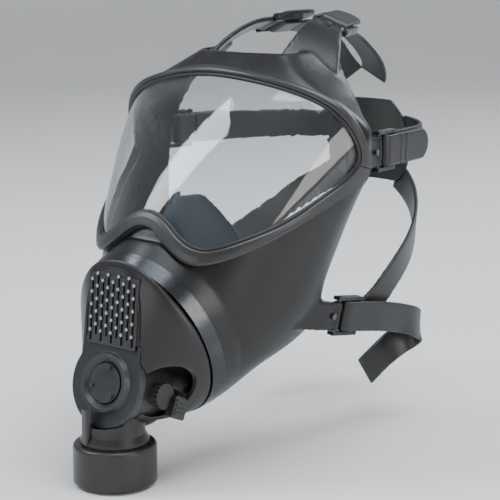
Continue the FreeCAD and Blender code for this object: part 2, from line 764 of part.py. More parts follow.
def strap_start(place):
    """First two points of a harness strap, just behind the buckle."""
    low = -FOLD - mm("strap_thick")
    begin = mm("buckle_length") - 0.2
    return [inside(place, 0, begin, low), inside(place, 0, begin + 7.0, low - 0.9)]


def make_harness_straps():
    routes = {"top": [head_above(12, 52, 1.2), head_above(12, 78, 1.2), head_point(173, 33, 1.2)],
              "temple": [head_point(122, 9.5, 1.2), head_point(142, 9, 1.2), head_point(158, 9, 1.2)],
              "neck": [Vector(67, 16, -33), Vector(60, 52, -14), Vector(45, 79, 4),
                       head_point(164, -11, 1.2)]}
    for where, route in routes.items():
        place = PLACES[where]
        out = place.Rotation.multVec(Vector(0, 0, 1))
        points = strap_start(place) + route
        if where == "neck":
            facing = [Vector(p.x, p.y * 0.6, 0).normalize() for p in route]
        else:
            facing = [head_normal(p) for p in route]
        width = mm("strap_width")
        strap = ribbon(points, [out, out] + facing, (width, width), mm("strap_thick"), 20)
        fold_room = Part.makeBox(40, 40, 12, Vector(-20, mm("buckle_length") - 40.3, -10))
        strap = strap.cut(in_frame(place, fold_room))
        for side, sign in SIDES.items():
            new_feature("strap_%s_%s" % (where, side), strap if sign > 0 else mirrored(strap))


def make_back_pad():
    """Curved rubber pad at the back of the head, where the six straps meet."""
    wires = []
    for height, half in ((16, 20), (22, 29), (36, 33), (50, 33), (62, 28), (72, 18)):
        outer = []
        inner = []
        for i in range(9):
            across = -half + 2 * half * i / 8
            for out, row in ((0.4 + mm("pad_thick"), outer), (0.4, inner)):
                x = across / (mm("head_half_width") + out)
                z = (height - mm("head_centre_up")) / (mm("head_half_height") + out)
                y = (mm("head_half_depth") + out) * math.sqrt(1 - x * x - z * z)
                row.append(Vector(across, y + mm("head_centre_back"), height))
        wires.append(Part.Wire([smooth_edge(outer), Part.LineSegment(outer[-1], inner[-1]).toShape(),
                                smooth_edge(inner[::-1]),
                                Part.LineSegment(inner[0], outer[0]).toShape()]))
    new_feature("back_pad", loft(wires))


def make_buckles():
    pins = []
    studs = []
    for where, place in PLACES.items():
        pin_solid = rod_across(place, mm("pin_radius"), mm("buckle_width") + 0.8)
        stud = Part.makeCylinder(1.9, 1.4, Vector(0, -4.6, mm("tab_thick") / 2))
        stud = stud.fuse(Part.makeCylinder(0.9, mm("tab_thick"), Vector(0, -4.6, -mm("tab_thick") / 2)))
        stud.Placement = place.multiply(stud.Placement)
        for side, sign in SIDES.items():
            name = "%s_%s" % (where, side)
            spot = place if sign > 0 else mirror_place(place)
            make_buckle_frame("buckle_frame_" + name, spot)
            make_buckle_bar("buckle_bar_" + name, spot)
            pins.append(pin_solid if sign > 0 else mirrored(pin_solid))
            studs.append(stud if sign > 0 else mirrored(stud))
    new_feature("buckle_pins", Part.makeCompound(pins))
    new_feature("tab_studs", Part.makeCompound(studs))


def mirror_place(place):
    """The placement of the same symmetrical part on the wearer's other side."""
    across = place.Rotation.multVec(Vector(1, 0, 0))
    along = place.Rotation.multVec(Vector(0, 1, 0))
    base = place.Base
    return frame_from(Vector(-base.x, base.y, base.z), Vector(across.x, -across.y, -across.z),
                      Vector(-along.x, along.y, along.z))


# ---------------------------------------------------------------- front unit
def in_frame(place, shape):
    shape.Placement = place.multiply(shape.Placement)
    return shape


def cylinder_in(place, radius, start, end):
    """Cylinder on a frame's Z axis."""
    return in_frame(place, Part.makeCylinder(radius, end - start, Vector(0, 0, start)))


def make_clamp_band():
    band = ring_tube(0.0, mm("band_thick"), 0.0, mm("band_width"))
    lugs = []
    for offset in (-4.2, 1.6):
        lug = Part.makeBox(2.6, 9.5, mm("band_width"), Vector(offset, -1.2, 0))
        lugs.append(in_frame(BAND_LUG, lug))
    gap = in_frame(BAND_LUG, Part.makeBox(3.2, 14, 14, Vector(-1.6, -4, -2)))
    new_feature("clamp_band", band.fuse(lugs[0]).fuse(lugs[1]).cut(gap).cut(
        in_frame(BAND_LUG, Part.makeCylinder(1.6, 20, Vector(-10, 5, mm("band_width") / 2),
                                             Vector(1, 0, 0)))))
    middle = mm("band_width") / 2
    screw = Part.makeCylinder(1.5, 13, Vector(-6.4, 5, middle), Vector(1, 0, 0))
    head = Part.makeCylinder(3.0, 2.2, Vector(-6.4, 5, middle), Vector(1, 0, 0))
    head = head.cut(Part.makeBox(1.0, 7, 0.8, Vector(-6.5, 1.5, middle - 0.4)))
    new_feature("clamp_screw", in_frame(BAND_LUG, screw.fuse(head)))
    nut = Part.makeBox(2.4, 5.6, 5.6, Vector(4.3, 2.2, middle - 2.8))
    nut = nut.cut(Part.makeCylinder(1.5, 9, Vector(2, 5, middle), Vector(1, 0, 0)))
    new_feature("clamp_nut", in_frame(BAND_LUG, nut))


def ring_spot(turn, shrink, forward):
    """Point on the ring's ellipse, turned clockwise from its top as the wearer's left grows."""
    angle = math.radians(turn)
    narrow = shrink + mm("ring_taper") * forward
    return RING.multVec(Vector((mm("ring_half_width") - narrow) * math.sin(angle),
                               (mm("ring_half_height") - narrow) * math.cos(angle), forward))


def ring_edge_frame(turn, shrink, forward):
    """Frame on the ring's edge: X along the edge, Y outward and Z forward."""
    spot = ring_spot(turn, shrink, forward)
    edge = ring_spot(turn + 1, shrink, forward) - ring_spot(turn - 1, shrink, forward)
    ahead = RING.Rotation.multVec(Vector(0, 0, 1))
    return frame_from(spot, edge, ahead.cross(edge))


BAND_LUG = ring_edge_frame(197, 0.0, 0.0)


def make_housing_base():
    """Plate behind the front cover that closes the facepiece's mouth, with its ports."""
    shrink = mm("band_thick") + 0.2 + mm("lip_thick") + 0.2
    rim = ring_tube(shrink, shrink + 2.4, -5.0, mm("band_width") + 4.0)
    plate = loft([ring_wire(shrink, -5.0), ring_wire(shrink, -2.4)], True)
    plate = plate.cut(cylinder_in(RING, 13.0, -8, 2).translate(Vector(0, 0, 24)))
    dome = loft([ring_wire(shrink + 2.0, 2.0), ring_wire(shrink + 20.0, 24.0)], True)
    hollow = loft([ring_wire(shrink + 4.4, 1.9), ring_wire(shrink + 22.4, 21.6)], True)
    base = rim.fuse(plate).fuse(dome.cut(hollow))
    base = base.cut(cylinder_in(VALVE, mm("chamber_radius") + 0.05, -mm("chamber_depth") - 4.1, 30))
    base = base.cut(cylinder_in(VALVE, 15.0, -90, 0))
    base = base.cut(cylinder_in(DIAPHRAGM, mm("diaphragm_ring") + 0.05, -20, 12))
    new_feature("housing_base", base)


def panel_spot(turn, shrink, sunk):
    """Point on the front panel's rounded outline, turned clockwise from its top."""
    angle = math.radians(turn)
    power = 2 / 3.2
    across = math.copysign(abs(math.sin(angle)) ** power, math.sin(angle))
    up = math.copysign(abs(math.cos(angle)) ** power, math.cos(angle))
    return PANEL.multVec(Vector((mm("panel_half_width") - shrink) * across,
                                (46.0 - shrink) * up - 34.0, -sunk))


def panel_plate(shrink, proud):
    """Flat plate of the panel's outline, standing proud of it."""
    points = [panel_spot(360.0 * i / 36, shrink, 0.4) for i in range(36)]
    curve = Part.BSplineCurve()
    curve.interpolate(points, PeriodicFlag=True)
    face = Part.Face(Part.Wire(curve.toShape()))
    return face.extrude(PANEL.Rotation.multVec(Vector(0, 0, proud + 0.4)))


def cover_loft(shrink, sunk, start):
    """Body of the front cover, from the ring to the panel."""
    wires = []
    for share, bulge in ((0.0, 0.0), (0.3, 3.4), (0.6, 4.0), (0.85, 2.4), (1.0, 0.0)):
        points = []
        for i in range(28):
            turn = 360.0 * i / 28
            back = ring_spot(turn, 0.8 + shrink, start)
            front = panel_spot(turn, shrink, sunk)
            spot = back + (front - back) * share
            centre = RING.Base + (PANEL.Base - RING.Base) * share
            away = Vector(spot.x, 0, (spot.z - centre.z) * 0.6)
            points.append(spot + away.normalize() * bulge if away.Length > 1 else spot)
        curve = Part.BSplineCurve()
        curve.interpolate(points, PeriodicFlag=True)
        wires.append(Part.Wire(curve.toShape()))
    return loft(wires)


def make_front_cover():
    start = mm("band_width") + 1.0
    cover = cover_loft(0.0, 0.0, start)
    cover = cover.cut(cover_loft(2.4, 2.6, start - 0.5))
    cover = cover.fuse(panel_plate(0.9, 0.8)).fuse(panel_plate(2.2, 1.4))
    cover = cover.cut(cylinder_in(VALVE, mm("plate_radius") + 0.4, -6.5, 14))
    cover = cover.cut(cylinder_in(VALVE, mm("chamber_radius") + 0.4, -40, 0))
    shoulders = Part.makeBox(2 * mm("panel_half_width") + 0.8, 24.7, 20,
                             Vector(-mm("panel_half_width") - 0.4, 0, -6.5))
    cover = cover.cut(in_frame(VALVE, shoulders))
    window = Part.makeBox(mm("grille_width"), mm("grille_height"), 12,
                          Vector(-mm("grille_width") / 2, -34.5, -6))
    cover = cover.cut(in_frame(PANEL, window))
    cover = cover.cut(rod_to_side(16.0, -60, 60, 2.0 - mm("port_front"), 2.0 - mm("port_drop")))
    cover = cover.cut(Part.makeBox(200, 200, 60, Vector(-100, -250, -60 - 92)))
    new_feature("front_cover", largest_solid(cover))


def largest_solid(shape):
    return max(shape.Solids, key=lambda solid: solid.Volume)


def make_speech_unit():
    """Slotted grille with raised pips, and the diaphragm behind it."""
    body = new_body("speech_grille")
    face = new_sketch(body, "XY_Plane", "grille_plate")
    half = "(#grille_width / 2 - 0.2)"
    tall = "(#grille_height / 2 - 0.2)"
    draw_outline(face, [("-" + half, "-" + tall), (half, "-" + tall), (half, tall), ("-" + half, tall)])
    pad(body, face, "grille_pad", "#grille_thick")
    slots = new_sketch(body, "XY_Plane", "grille_slots")
    pips = []
    columns = int(mm("grille_columns"))
    rows = int(mm("grille_rows"))
    for column in range(columns):
        across = (column - (columns - 1) / 2) * mm("grille_pitch")
        stagger = mm("grille_step") / 2 if column % 2 else 0.0
        for row_number in range(rows):
            up = (row_number - (rows - 1) / 2) * mm("grille_step") + stagger - mm("grille_step") / 4
            add_slot(slots, across, up, mm("grille_slot_width"), mm("grille_slot_length"))
            pips.append((across, up + mm("grille_step") / 2))
    pocket(body, slots, "grille_cut", "#grille_thick + 1", False, True)
    bumps = new_sketch(body, "XY_Plane", "grille_pips")
    for across, up in pips:
        circle = Part.Circle(Vector(across, up, 0), Vector(0, 0, 1), mm("grille_pip"))
        bumps.addGeometry(circle, False)
    pad(body, bumps, "grille_bumps", "#grille_thick + 1.0")
    body.Placement = PANEL.multiply(Placement(Vector(0, -13.5, -1.2), Rotation()))
    tube_ring("diaphragm_ring", "#diaphragm_ring", "#diaphragm_radius", "5", DIAPHRAGM)
    tube_ring("speech_diaphragm", "#diaphragm_radius - 0.1", None, "0.5",
              DIAPHRAGM.multiply(Placement(Vector(0, 0, 2.0), Rotation())))


def add_slot(sketch, across, up, width, length):
    """An upright rectangular slot, by its middle."""
    left, right = across - width / 2, across + width / 2
    low, high = up - length / 2, up + length / 2
    corners = [Vector(left, low, 0), Vector(right, low, 0), Vector(right, high, 0), Vector(left, high, 0)]
    for i in range(4):
        sketch.addGeometry(Part.LineSegment(corners[i], corners[(i + 1) % 4]), False)


def make_valve_unit():
    """Valve chamber with the inlet tube, its plate, dial cap, seat and flap."""
    outer = mm("chamber_radius")
    bore = outer - mm("chamber_wall")
    deep = mm("chamber_depth") + mm("plate_thick")
    chamber = cylinder_in(VALVE, outer, -deep, -mm("plate_thick"))
    tube = in_frame(NUT, tube_solid(0.0))
    tube = tube.cut(cylinder_in(VALVE, mm("plate_radius") + 0.4, -mm("plate_thick"), 30))
    body = chamber.fuse(tube)
    body = body.cut(cylinder_in(VALVE, bore, -deep + 2.5, 0))
    body = body.cut(cylinder_in(VALVE, 9.0, -deep - 1, 0))
    body = body.cut(in_frame(NUT, Part.makeCylinder(mm("tube_bore"), 40, Vector(0, 0, 10))))
    body = body.cut(cylinder_in(DIAPHRAGM, mm("diaphragm_ring") + 0.05, -0.05, 5.05))
    new_feature("valve_body", largest_solid(body))
    plate = turned("valve_cover_plate", [("#cap_radius + #cap_clearance", "0"), ("#plate_radius", "0"),
                                         ("#plate_radius", "#plate_thick"),
                                         ("#dial_ring_radius + #dial_ring_wire", "#plate_thick"),
                                         ("#dial_ring_radius + 1.2", "#plate_thick + #dial_ring_wire"),
                                         ("#dial_ring_radius - 0.8", "#plate_thick + #dial_ring_wire"),
                                         ("#cap_radius + #cap_clearance", "#plate_thick")],
                   VALVE.multiply(Placement(Vector(0, 0, -mm("plate_thick")), Rotation())))
    shoulders = new_sketch(plate, "XY_Plane", "plate_shoulders")
    for side in ("", "-"):
        draw_outline(shoulders, [(side + "#panel_half_width", "14.5"), (side + "#panel_half_width", "24.3"),
                                 (side + "10", "24.3"), (side + "9", "21"), (side + "19", "14.5")])
    pad(plate, shoulders, "plate_shoulder_pad", "#plate_thick")
    rim = mm("plate_radius")
    round_edges(plate, "plate_rounding", 1.2,
                lambda edge: abs(edge.BoundBox.XMax - rim) < 0.01 and edge.BoundBox.ZMin > 3.9)
    notch = new_sketch(plate, "XY_Plane", "plate_notch")
    draw_outline(notch, [("-19.3", "21.4"), ("19.3", "21.4"), ("19.3", "30"), ("-19.3", "30")])
    pocket(plate, notch, "plate_grille_room", "#plate_thick + 1", False, True)
    cap = tube_ring("valve_cap", "#cap_radius", None, "#cap_thick",
                    VALVE.multiply(Placement(Vector(0, 0, -mm("cap_thick") + 1.0), Rotation())))
    nubs = new_sketch(cap, "XY_Plane", "cap_nubs")
    for turn in (75, 195, 315):
        angle = math.radians(turn)
        spot = Vector(9.4 * math.cos(angle), 9.4 * math.sin(angle), 0)
        nubs.addGeometry(Part.Circle(spot, Vector(0, 0, 1), mm("nub_radius")), False)
    pad(cap, nubs, "cap_nub_pad", "#cap_thick + #nub_height")
    tube_ring("exhale_seat", "#seat_outer", "#seat_bore", "#seat_thick",
              VALVE.multiply(Placement(Vector(0, 0, -15.0), Rotation())))
    tube_ring("exhale_flap", "#flap_radius", None, "#flap_thick",
              VALVE.multiply(Placement(Vector(0, 0, -12.5), Rotation())))
    tube_ring("inhale_seat", "#tube_bore - 0.1", "#tube_bore - 4", "2",
              NUT.multiply(Placement(Vector(0, 0, 24), Rotation())))
    tube_ring("inhale_flap", "#tube_bore - 1.5", None, "1",
              NUT.multiply(Placement(Vector(0, 0, 26.1), Rotation())))


def tube_solid(grow):
    """Inlet tube's outside, grown by a margin: end flange, neck, rim above the nut and taper."""
    low = 17.0
    above = low + mm("tube_flange_thick")
    nut_top = mm("nut_height")
    rows = [(0, low), (mm("tube_flange"), low), (mm("tube_flange"), above), (mm("tube_neck"), above),
            (mm("tube_neck"), nut_top + 0.4), (mm("tube_rim"), nut_top + 0.4),
            (mm("tube_rim"), nut_top + 2.2), (mm("tube_rim") - 2.0, nut_top + 6),
            (mm("tube_top") + 1.0, nut_top + 17), (mm("tube_top"), mm("tube_length")),
            (0, mm("tube_length"))]
    wire = polygon([Vector(radius + grow if radius else 0, 0, height) for radius, height in rows])
    return Part.Face(wire).revolve(Vector(), Vector(0, 0, 1), 360)


def make_coupling():
    """Hose nut that swivels on the inlet tube, its gasket and the lock finger."""
    nut = turned("hose_nut", [("#nut_thread", "0"), ("#nut_radius", "0"), ("#nut_radius", "#nut_height"),
                              ("#tube_neck + 0.3", "#nut_height"),
                              ("#tube_neck + 0.3", "#nut_height - #nut_lip"),
                              ("#nut_thread + 0.6", "#nut_height - #nut_lip"),
                              ("#nut_thread + 0.6", "#nut_thread_depth"),
                              ("#nut_thread", "#nut_thread_depth")], NUT)
    rim = mm("nut_radius") - 0.1
    round_edges(nut, "nut_rounding", 2.4,
                lambda edge: len(edge.Vertexes) == 1 and edge.BoundBox.XMax > rim)
    tube_ring("hose_gasket", "#tube_flange", "#gasket_bore", "#gasket_thick",
              NUT.multiply(Placement(Vector(0, 0, 15.3), Rotation())))
    bearing = 253
    turn = math.radians(bearing)
    spot = Vector(17.6 * math.cos(turn), -mm("nut_axis") + 17.6 * math.sin(turn), -104.2)
    finger = Part.makeBox(6.0, 4.2, 21.0, Vector(-3.0, -1.2, 0))
    finger = finger.makeFillet(1.2, [edge for edge in finger.Edges if edge.Length > 20])
    finger.Placement = Placement(spot, Rotation(Vector(0, 0, 1), bearing - 90))
    trimmed = finger.cut(in_frame(NUT, tube_solid(0.05)))
    trimmed = trimmed.cut(cylinder_in(VALVE, mm("plate_radius") + 0.05, -31, 2))
    new_feature("lock_finger", largest_solid(trimmed))


def rod_to_side(radius, start, end, back, up):
    """Cylinder that runs along X at a place beside the valve chamber."""
    return Part.makeCylinder(radius, end - start, Vector(start, back, up), Vector(1, 0, 0))


def make_side_ports():
    """Side ports under the cover and their knurled caps."""
    back = -mm("port_front")
    up = -mm("port_drop")
    outer = mm("port_radius")
    edge = mm("port_reach")
    tube = rod_to_side(outer, 14, edge, back, up)
    tube = tube.cut(rod_to_side(outer - 2.0, 12, edge + 2, back, up))
    tube = tube.cut(cylinder_in(VALVE, mm("chamber_radius") + 0.05, -40, 0))
    grip = outer + 0.8
    cap = rod_to_side(grip, edge + 0.1, edge + mm("port_cap_thick"), back, up)
    for i in range(18):
        turn = math.radians(20 * i)
        cap = cap.fuse(rod_to_side(mm("port_knurl"), edge + 0.1, edge + mm("port_cap_thick"),
                                   back + grip * math.cos(turn), up + grip * math.sin(turn)))
    for side, sign in SIDES.items():
        port = largest_solid(tube)
        new_feature("side_port_" + side, port if sign > 0 else mirrored(port))
        new_feature("side_port_cap_" + side, cap if sign > 0 else mirrored(cap))


def make_cover_latches():
    """Ribbed spring latches behind the side ports, which hold the cover to the housing."""
    wide = mm("latch_wide")
    long = mm("latch_long")
    tall = mm("latch_tall")
    latch = Part.makeBox(wide, long, tall, Vector(0, -long / 2, -tall / 2))
    latch = latch.makeFillet(1.4, [edge for edge in latch.Edges if abs(edge.Length - wide) < 0.01])
    for i in range(4):
        rib = Part.makeBox(0.9, long - 3.0, 1.2, Vector(wide, 1.5 - long / 2, -4.6 + 2.6 * i))
        latch = latch.fuse(rib)
    latch.Placement = Placement(Vector(mm("latch_across"), -mm("latch_front"), -mm("latch_drop")),
                                Rotation(Vector(1, 0, 0), -mm("ring_lean")))
    latch = latch.cut(cylinder_in(VALVE, mm("chamber_radius") + 0.3, -40, 0))
    cap_room = mm("port_radius") + 0.8 + mm("port_knurl") + 0.2
    latch = latch.cut(rod_to_side(cap_room, 0, mm("port_reach") + mm("port_cap_thick") + 0.2,
                                  -mm("port_front"), -mm("port_drop")))
    latch = largest_solid(latch)
    for side, sign in SIDES.items():
        new_feature("cover_latch_" + side, latch if sign > 0 else mirrored(latch))


# ---------------------------------------------------------------- fits
# Pieces that neighbours sit in: each is cut where they are, so that they meet face to face.
FITS = [("facepiece", ["visor_frame_upper", "visor_frame_lower", "visor", "tab_studs", "frame_screws"]),
        ("visor_frame_lower", ["frame_screws"]),
        ("front_cover", ["speech_grille", "valve_body", "cover_latch_left", "cover_latch_right"]),
        ("strap_temple_left", ["back_pad"]), ("strap_temple_right", ["back_pad"]),
        ("strap_neck_left", ["back_pad"]), ("strap_neck_right", ["back_pad"])]


def fit_pieces():
    DOC.recompute()
    pieces = {node.Label: node for node in NODES}
    for label, neighbours in FITS:
        for name in neighbours:
            pieces[label].Shape = largest_solid(pieces[label].Shape.cut(pieces[name].Shape))


def write_parts():
    DOC.recompute()
    for item in DOC.Objects:
        if "Invalid" in item.State or "Error" in item.State:
            raise RuntimeError(item.Label + " failed: " + str(item.State))
    bad = [node.Label for node in NODES if node.Shape.isNull() or not node.Shape.isValid()]
    if bad:
        raise RuntimeError("bad shapes: " + ", ".join(bad))
    os.makedirs("parts", exist_ok=True)
    for node in NODES:
        node.Shape.exportStep("parts/" + node.Label + ".step")


make_visor()
make_frame()
new_feature("frame_screws", Part.makeCompound(make_frame_screws()))
make_facepiece()
make_buckles()
make_strap_tails()
make_harness_straps()
make_back_pad()
make_clamp_band()
make_housing_base()
make_front_cover()
make_speech_unit()
make_valve_unit()
make_coupling()
make_side_ports()
make_cover_latches()
make_inner_mask()
fit_pieces()
write_parts()
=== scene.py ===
import json
import math

import bmesh
import bpy
from mathutils import Matrix, Vector


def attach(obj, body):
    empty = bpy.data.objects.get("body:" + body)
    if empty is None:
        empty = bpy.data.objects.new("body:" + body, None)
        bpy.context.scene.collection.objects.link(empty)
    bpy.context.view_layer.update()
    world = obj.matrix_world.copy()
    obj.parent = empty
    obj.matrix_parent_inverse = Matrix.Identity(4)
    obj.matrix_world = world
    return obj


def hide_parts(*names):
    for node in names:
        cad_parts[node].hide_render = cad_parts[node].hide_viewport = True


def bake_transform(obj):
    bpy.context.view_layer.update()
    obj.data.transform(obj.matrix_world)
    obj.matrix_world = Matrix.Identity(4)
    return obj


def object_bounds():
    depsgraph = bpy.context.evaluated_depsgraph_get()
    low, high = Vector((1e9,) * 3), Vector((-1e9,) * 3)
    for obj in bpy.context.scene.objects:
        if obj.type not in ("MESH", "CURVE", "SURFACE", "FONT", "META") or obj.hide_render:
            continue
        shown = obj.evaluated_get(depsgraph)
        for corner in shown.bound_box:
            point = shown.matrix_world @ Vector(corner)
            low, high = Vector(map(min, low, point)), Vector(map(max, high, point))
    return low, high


# Full face respirator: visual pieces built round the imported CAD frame.  Metres; -Y is forward,
# +X is the wearer's left and +Z is up.

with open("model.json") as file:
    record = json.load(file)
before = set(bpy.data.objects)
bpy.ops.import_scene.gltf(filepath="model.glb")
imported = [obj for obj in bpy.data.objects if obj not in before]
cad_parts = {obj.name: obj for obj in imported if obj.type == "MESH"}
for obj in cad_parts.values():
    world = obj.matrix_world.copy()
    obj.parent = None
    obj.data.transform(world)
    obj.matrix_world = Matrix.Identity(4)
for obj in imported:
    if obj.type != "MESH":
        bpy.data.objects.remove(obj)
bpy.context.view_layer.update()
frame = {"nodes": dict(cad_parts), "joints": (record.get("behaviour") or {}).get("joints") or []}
NODES = frame["nodes"]


# ---------------------------------------------------------------- camera and stage
AZIMUTH = math.radians(37.84)
ELEVATION = math.radians(11.66)


def make_camera():
    right = Vector((math.cos(AZIMUTH), math.sin(AZIMUTH), 0))
    back = Vector((math.sin(AZIMUTH) * math.cos(ELEVATION), -math.cos(AZIMUTH) * math.cos(ELEVATION),
                   math.sin(ELEVATION)))
    up = back.cross(right)
    data = bpy.data.cameras.new("camera")
    data.lens = 118.8
    data.sensor_width = 36
    camera = bpy.data.objects.new("camera", data)
    bpy.context.scene.collection.objects.link(camera)
    turn = Matrix((right, up, back)).transposed().to_4x4()
    camera.matrix_world = Matrix.Translation((0.6276, -0.8483, 0.1984)) @ turn
    bpy.context.scene.camera = camera


def make_floor():
    """Pale floor that curves up into a pale wall all round."""
    rings = [(0.0, 0.0), (1.4, 0.0), (2.2, 0.0), (2.6, 0.06), (2.9, 0.25), (3.1, 0.6), (3.2, 1.2),
             (3.2, 2.6), (2.4, 3.6), (1.0, 4.0)]
    steps = 64
    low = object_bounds()[0][2] - 0.001
    mesh = bmesh.new()
    loops = []
    for radius, height in rings[1:]:
        loops.append([mesh.verts.new((radius * math.cos(2 * math.pi * i / steps),
                                      radius * math.sin(2 * math.pi * i / steps), low + height))
                      for i in range(steps)])
    centre = mesh.verts.new((0, 0, low))
    for i in range(steps):
        mesh.faces.new((centre, loops[0][i], loops[0][(i + 1) % steps]))
    for before, after in zip(loops, loops[1:]):
        for i in range(steps):
            mesh.faces.new((before[i], after[i], after[(i + 1) % steps], before[(i + 1) % steps]))
    floor = finish_mesh("floor", mesh)
    material = new_material("floor_paint")
    shade(material, color=(0.80, 0.80, 0.80), rough=0.9)
    floor.data.materials.append(material)


def add_light(name, size, power, place, target=(0, -0.05, 0.02), color=(1, 1, 1), tall=None):
    data = bpy.data.lights.new(name, "AREA")
    data.energy = power
    data.color = color
    if tall is None:
        data.size = size
    else:
        data.shape = "RECTANGLE"
        data.size = size
        data.size_y = tall
    light = bpy.data.objects.new(name, data)
    bpy.context.scene.collection.objects.link(light)
    away = Vector(place) - Vector(target)
    light.matrix_world = Matrix.Translation(place) @ away.to_track_quat("Z", "Y").to_matrix().to_4x4()


def make_lights():
    world = bpy.data.worlds.new("studio")
    world.use_nodes = True
    world.node_tree.nodes["Background"].inputs["Color"].default_value = (0.92, 0.94, 1.0, 1)
    world.node_tree.nodes["Background"].inputs["Strength"].default_value = 0.22
    bpy.context.scene.world = world
    add_light("sky_panel", 1.1, 24.0, (0.35, -0.1, 1.5), color=(0.88, 0.94, 1.0))
    add_light("window_left", 0.45, 15.0, (-0.85, -0.75, 1.15), color=(0.88, 0.94, 1.0), tall=0.9)
    add_light("front_low", 0.8, 5.0, (0.2, -1.5, 0.1), color=(1.0, 0.97, 0.95))
    add_light("side_fill", 0.7, 8.0, (1.5, -0.1, 0.30), color=(1.0, 0.95, 0.92))
    add_light("rear_edge", 0.9, 16.0, (0.5, 1.5, 1.1), color=(0.92, 0.96, 1.0))


# ---------------------------------------------------------------- materials
def new_material(name):
    material = bpy.data.materials.new(name)
    material.use_nodes = True
    return material


def shade(material, color, rough, metal=0.0, coat=0.0, coat_rough=0.2):
    """Sets the constant inputs of a material's shader and gives the shader."""
    shader = material.node_tree.nodes["Principled BSDF"]
    shader.inputs["Base Color"].default_value = (*color, 1)
    shader.inputs["Roughness"].default_value = rough
    shader.inputs["Metallic"].default_value = metal
    shader.inputs["Coat Weight"].default_value = coat
    shader.inputs["Coat Roughness"].default_value = coat_rough
    return shader


class Graph:
    """Short calls that add shader nodes to one material."""

    def __init__(self, material):
        self.tree = material.node_tree
        self.coords = self.add("ShaderNodeTexCoord").outputs["Object"]

    def add(self, kind, **values):
        node = self.tree.nodes.new(kind)
        for name, value in values.items():
            setattr(node, name, value)
        return node

    def link(self, source, target):
        self.tree.links.new(source, target)

    def noise(self, scale, detail=4.0, rough=0.6, stretch=None):
        node = self.add("ShaderNodeTexNoise")
        node.inputs["Scale"].default_value = scale
        node.inputs["Detail"].default_value = detail
        node.inputs["Roughness"].default_value = rough
        self.link(self.stretched(stretch), node.inputs["Vector"])
        return node.outputs["Fac"]

    def stretched(self, stretch):
        if stretch is None:
            return self.coords
        node = self.add("ShaderNodeMapping")
        node.inputs["Scale"].default_value = stretch
        self.link(self.coords, node.inputs["Vector"])
        return node.outputs["Vector"]

    def ramp(self, source, low, high, start, end):
        """Maps start..end of a factor to low..high."""
        node = self.add("ShaderNodeMapRange")
        node.inputs["From Min"].default_value = start
        node.inputs["From Max"].default_value = end
        node.inputs["To Min"].default_value = low
        node.inputs["To Max"].default_value = high
        self.link(source, node.inputs["Value"])
        return node.outputs["Result"]

    def blend(self, factor, first, second):
        node = self.add("ShaderNodeMix", data_type="RGBA")
        self.link(factor, node.inputs["Factor"])
        for socket, value in ((node.inputs["A"], first), (node.inputs["B"], second)):
            if isinstance(value, tuple):
                socket.default_value = (*value, 1)
            else:
                self.link(value, socket)
        return node.outputs["Result"]

    def add_up(self, first, second, share):
        """first plus share times second."""
        node = self.add("ShaderNodeMath", operation="MULTIPLY_ADD")
        self.link(second, node.inputs[0])
        node.inputs[1].default_value = share
        self.link(first, node.inputs[2])
        return node.outputs[0]

    def bump(self, height, shader, strength, distance):
        node = self.add("ShaderNodeBump")
        node.inputs["Strength"].default_value = strength
        node.inputs["Distance"].default_value = distance
        self.link(height, node.inputs["Height"])
        self.link(node.outputs["Normal"], shader.inputs["Normal"])
        return node

    def rounded(self, bump, radius):
        """Shades the edges as if they were rounded to that radius."""
        node = self.add("ShaderNodeBevel", samples=4)
        node.inputs["Radius"].default_value = radius
        self.link(node.outputs["Normal"], bump.inputs["Normal"])

    def along(self, direction):
        """Distance along a direction from the origin."""
        node = self.add("ShaderNodeVectorMath", operation="DOT_PRODUCT")
        self.link(self.coords, node.inputs[0])
        node.inputs[1].default_value = direction
        return node.outputs["Value"]

    def edges(self):
        """How convex the surface is, for wear along edges."""
        return self.add("ShaderNodeNewGeometry").outputs["Pointiness"]


PANEL_NORMAL = (0.0, -0.9949, 0.1011)
PANEL_FACE = 0.1661


def black_material(name, dark, light, rough, grain, grain_depth, scuff, spec=0.5, coat=0.0,
                   bevel=0.0, pip_highlight=False):
    """Black rubber or plastic: mottled colour, dusty patches, grained surface and worn edges.

    bevel rounds the edges in shading, and the last flag paints a bright highlight onto the raised pips of the
    grille as colour.
    """
    material = new_material(name)
    shader = shade(material, dark, rough, coat=coat)
    shader.inputs["Specular IOR Level"].default_value = spec
    graph = Graph(material)
    cloud = graph.noise(28, 5, 0.62)
    speck = graph.noise(700, 3, 0.7)
    mottled = graph.blend(graph.ramp(cloud, 0, 1, 0.38, 0.68), dark, light)
    worn = graph.ramp(graph.edges(), 0, 0.4, 0.53, 0.62)
    colour = graph.blend(worn, mottled, scuff)
    # Painted highlight: the tops of the grille's raised pips are coloured light grey in place of glints.
    if pip_highlight:
        painted_pip_glint = graph.ramp(graph.along(PANEL_NORMAL), 0, 1, PANEL_FACE, PANEL_FACE + 0.0003)
        colour = graph.blend(painted_pip_glint, colour, (0.36, 0.37, 0.38))
    graph.link(colour, shader.inputs["Base Color"])
    patch = graph.ramp(graph.add_up(cloud, speck, 0.35), rough - 0.03, rough + 0.07, 0.45, 0.9)
    graph.link(patch, shader.inputs["Roughness"])
    fine = graph.noise(grain, 2, 0.5)
    wave = graph.noise(60, 2, 0.5)
    bump = graph.bump(graph.add_up(fine, wave, 1.4), shader, 0.35, grain_depth)
    if bevel:
        graph.rounded(bump, bevel)
    return material


